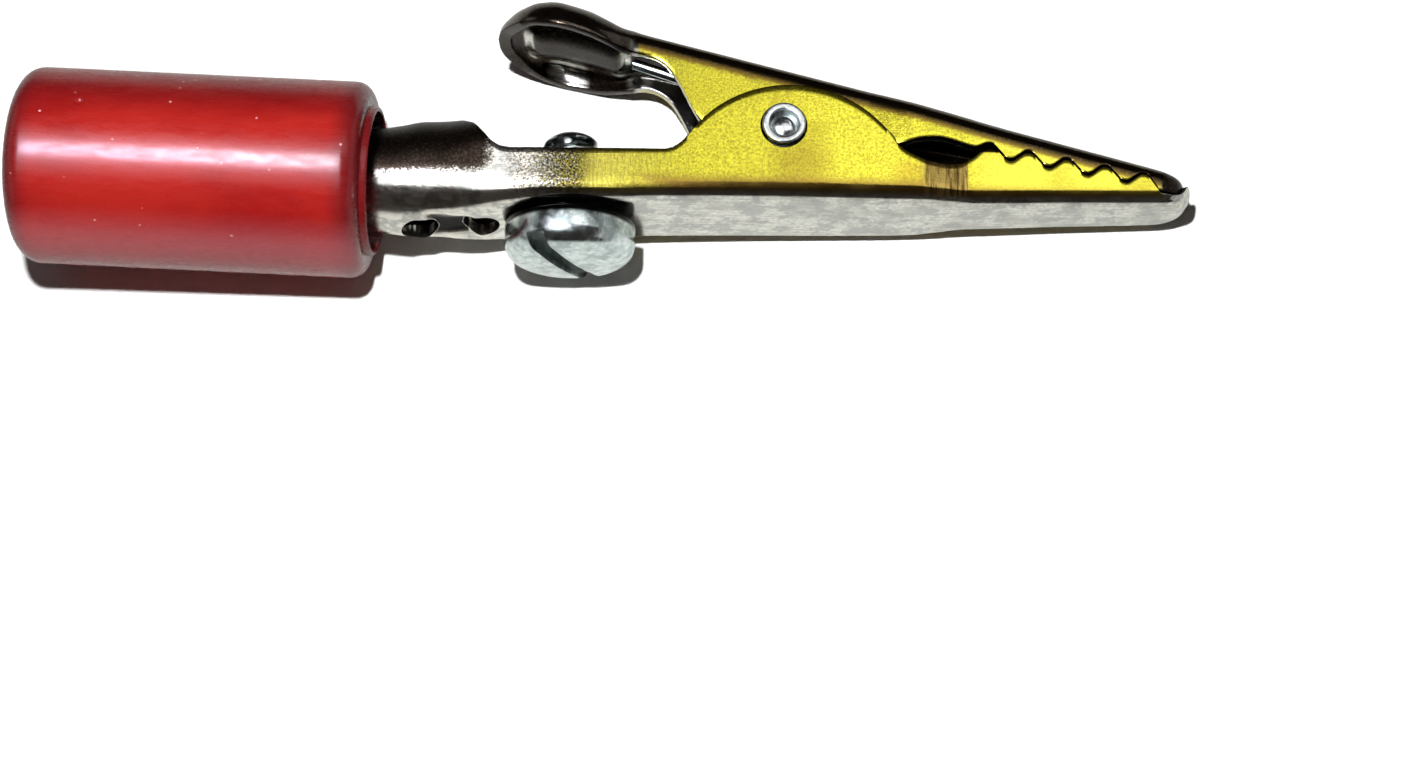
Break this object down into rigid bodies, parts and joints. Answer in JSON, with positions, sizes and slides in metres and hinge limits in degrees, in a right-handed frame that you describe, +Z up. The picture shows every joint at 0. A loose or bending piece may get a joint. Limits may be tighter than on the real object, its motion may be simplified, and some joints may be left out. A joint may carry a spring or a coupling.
{
  "type": "alligator clip",
  "caption": "Sprung sheet-metal alligator clip with toothed jaws, a dished thumb lever, a terminal screw, a rolled plug barrel and a red insulating sleeve.",
  "frame": {"origin": "middle of the bounding box, on the surface that the clip lies on", "axes": "+X along the barrel towards the jaw tips, +Y from the lower jaw to the thumb lever, +Z up across the jaws, along the pivot rivet"},
  "size_m": [0.0604, 0.014, 0.0102],
  "materials": {
    "red_plastic": "glossy rigid moulded plastic, lightly scratched",
    "nickel_plate": "nickel plated steel sheet, rolled grain, yellowish flanks",
    "nickel_plate_lever": "nickel plated steel sheet, rolled grain, yellowish flanks",
    "rivet_steel": "bright plated steel",
    "spring_wire": "bright plated spring wire",
    "zinc_plate": "bluish zinc plated steel, handled"
  },
  "bodies": {
    "lower": {"lower_jaw": "nickel_plate", "pivot_rivet": "rivet_steel", "torsion_spring": "spring_wire"},
    "lever": {"upper_jaw": "nickel_plate_lever"},
    "screw": {"terminal_screw": "zinc_plate"},
    "sleeve": {"insulating_sleeve": "red_plastic"}
  },
  "joints": [
    {"name": "jaw_hinge", "type": "hinge", "parent": "lower", "child": "lever", "pos_m": [0.00917, 0.00007, 0.00508], "axis": [0, 0, 1], "range_deg": [0, 22], "stiffness_Nm_per_rad": 0.1, "springref_deg": -34.38, "deforming": ["torsion_spring"]},
    {"name": "screw_travel", "type": "slide", "parent": "lower", "child": "screw", "axis": [0, -1, 0], "range_m": [0, 0.002]},
    {"name": "sleeve_slide", "type": "slide", "parent": "lower", "child": "sleeve", "axis": [-0.9993, 0.0384, 0], "range_m": [0, 0.01]}
  ]
}
